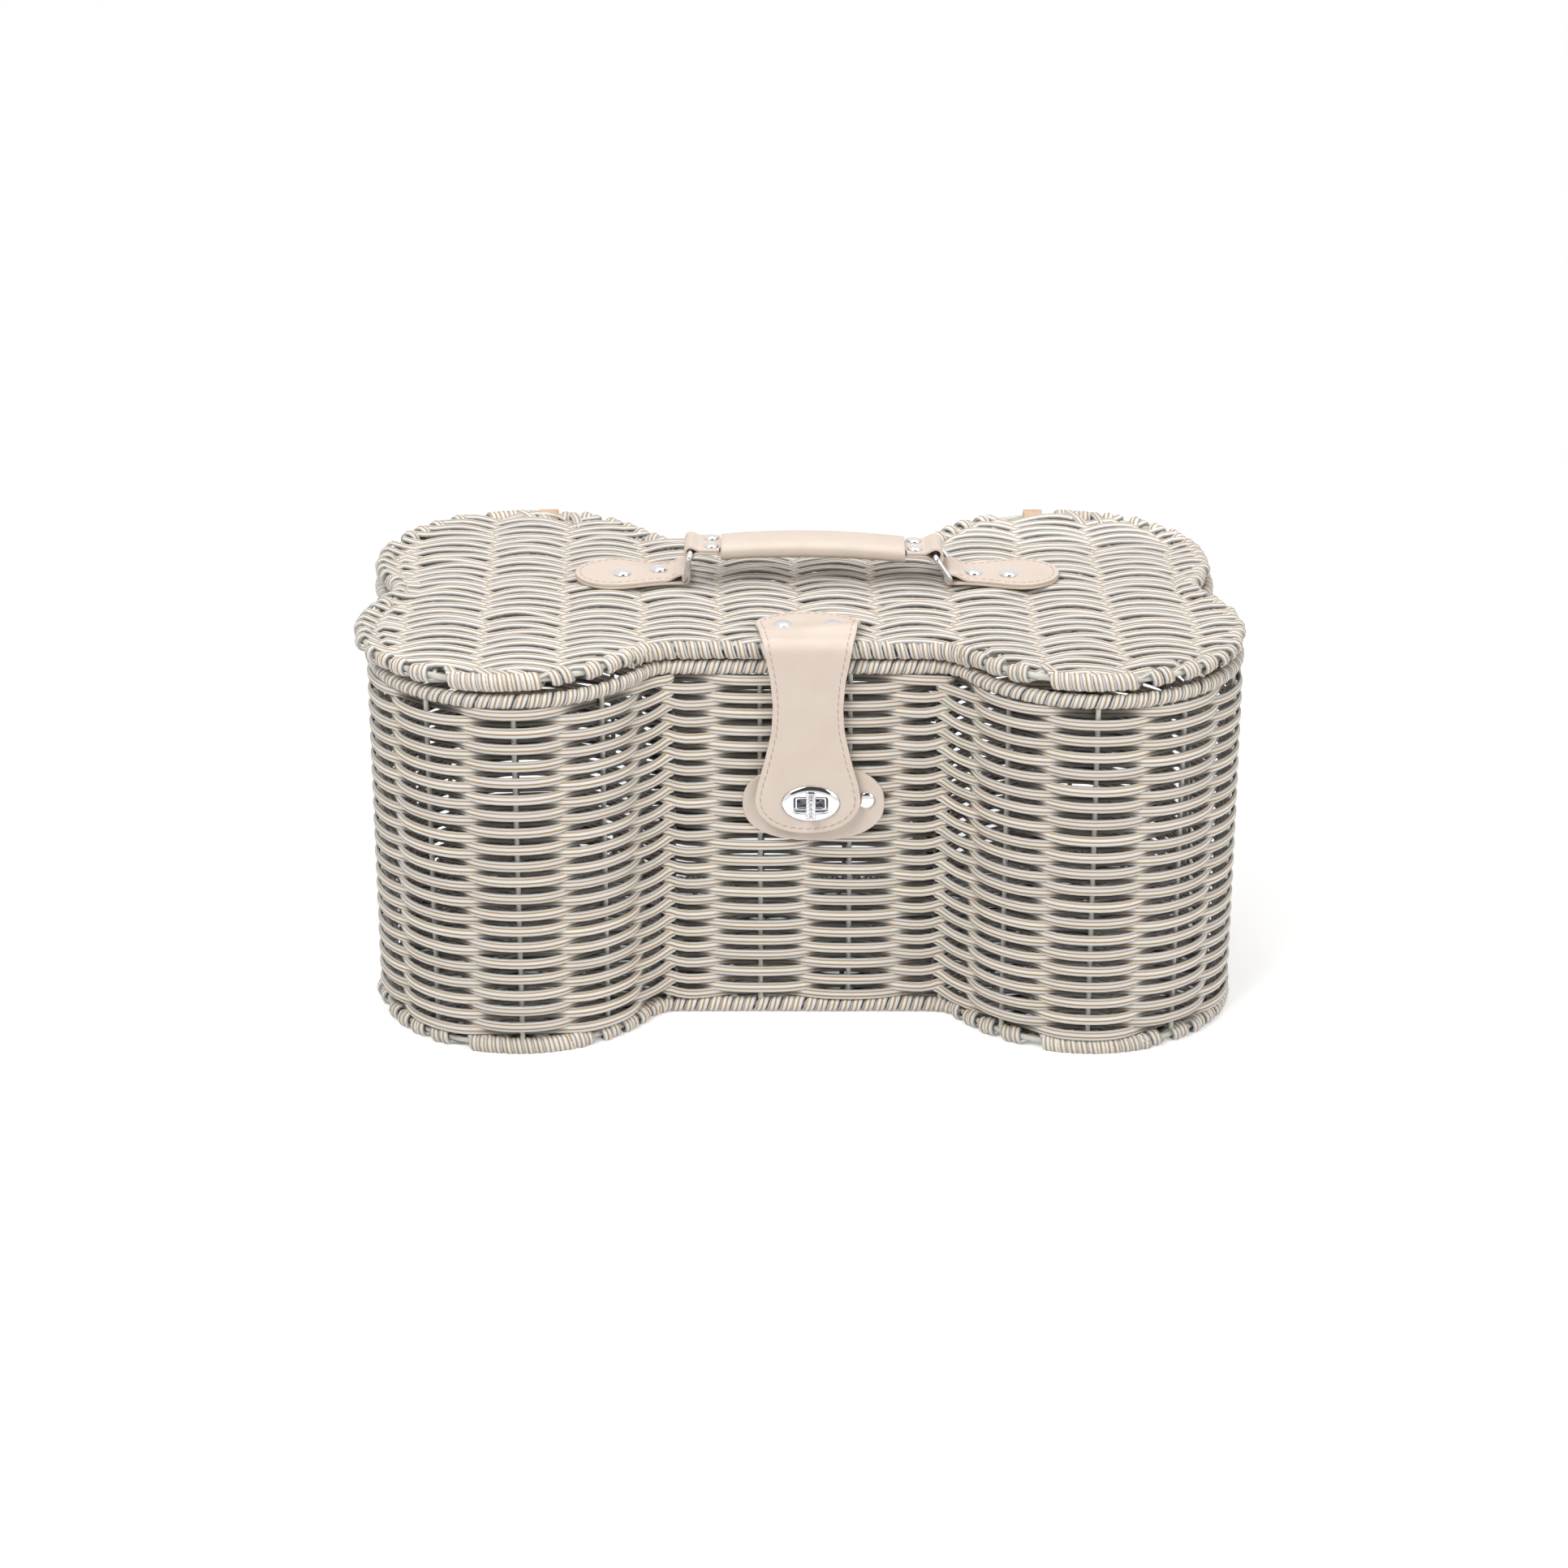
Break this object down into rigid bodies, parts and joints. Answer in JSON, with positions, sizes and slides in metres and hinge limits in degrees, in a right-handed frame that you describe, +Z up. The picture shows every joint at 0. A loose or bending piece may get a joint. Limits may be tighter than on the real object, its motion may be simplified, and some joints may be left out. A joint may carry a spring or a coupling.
{
  "type": "hamper basket",
  "caption": "Woven hamper basket with four round lobes, a hinged lid, a leather carry handle and a front strap with a turn lock.",
  "frame": {"origin": "on the floor under the middle of the woven base", "axes": "+X along the length towards the viewer's right, +Y from the front with the lock to the back with the hinges, +Z up"},
  "size_m": [0.4733, 0.2654, 0.2441],
  "materials": {
    "strand": "striped cream, white and tan round-edged plastic strand, woven",
    "wire": "grey-green coated steel wire",
    "leather": "nude beige smooth leather, stitched edges",
    "filler": "handle filler, hidden",
    "chrome": "polished chrome plate",
    "stones": "clear cut stones"
  },
  "bodies": {
    "basket": {"body_wire_frame": "wire", "side_weave_front": "strand", "side_weave_back": "strand", "side_weave_left": "strand", "side_weave_right": "strand", "base_weave": "strand", "base_rim_wrap": "strand", "body_rim_wrap_front": "strand", "body_rim_wrap_back": "strand", "hinge_loop_left": "leather", "hinge_loop_right": "leather", "lock_backing_leather": "leather", "lock_rivet_left": "chrome", "lock_rivet_right": "chrome", "lock_plate": "chrome"},
    "lid": {"lid_wire_frame": "wire", "lid_weave": "strand", "lid_rim_wrap_front": "strand", "lid_rim_wrap_back": "strand", "handle_anchor_left": "leather", "handle_anchor_right": "leather", "anchor_rivet_left_inner": "chrome", "anchor_rivet_left_outer": "chrome", "anchor_rivet_right_inner": "chrome", "anchor_rivet_right_outer": "chrome", "strap_root": "leather", "strap_rivet_left": "chrome", "strap_rivet_right": "chrome"},
    "ring_left": {"handle_ring_left": "chrome"},
    "ring_right": {"handle_ring_right": "chrome"},
    "handle": {"handle_sleeve": "leather", "handle_core": "filler", "handle_end_strap_left": "leather", "handle_end_strap_right": "leather", "handle_rivet_left_1": "chrome", "handle_rivet_left_2": "chrome", "handle_rivet_right_1": "chrome", "handle_rivet_right_2": "chrome"},
    "strap": {"strap_flap": "leather", "strap_eyelet": "chrome"},
    "knob": {"lock_knob": "chrome", "lock_knob_stones": "stones"}
  },
  "joints": [
    {"name": "lid_hinge", "type": "hinge", "parent": "basket", "child": "lid", "pos_m": [0, 0.1272, 0.214], "axis": [-1, 0, 0], "range_deg": [0, 180]},
    {"name": "strap_fold", "type": "hinge", "parent": "lid", "child": "strap", "pos_m": [0.0015, -0.0889, 0.2194], "axis": [-1, 0, 0], "range_deg": [0, 150]},
    {"name": "lock_turn", "type": "hinge", "parent": "basket", "child": "knob", "pos_m": [0.0031, -0.0867, 0.1284], "axis": [0, 1, 0], "range_deg": [0, 90]},
    {"name": "ring_left_swing", "type": "hinge", "parent": "lid", "child": "ring_left", "pos_m": [-0.066, 0.017, 0.2217], "axis": [0, 1, 0], "range_deg": [-20, 20]},
    {"name": "handle_swing", "type": "hinge", "parent": "ring_left", "child": "handle", "pos_m": [-0.06238, 0.017, 0.23677], "axis": [0, 1, 0], "range_deg": [-22, 22]},
    {"name": "ring_right_swing", "type": "hinge", "parent": "lid", "child": "ring_right", "pos_m": [0.08, 0.017, 0.2217], "axis": [0, 1, 0], "range_deg": [-23.7, 23.7]}
  ],
  "couplings": [
    {"joint": "handle_swing", "follows": "ring_left_swing", "ratio": -1.0997},
    {"joint": "ring_right_swing", "follows": "ring_left_swing", "ratio": 1.1841}
  ]
}
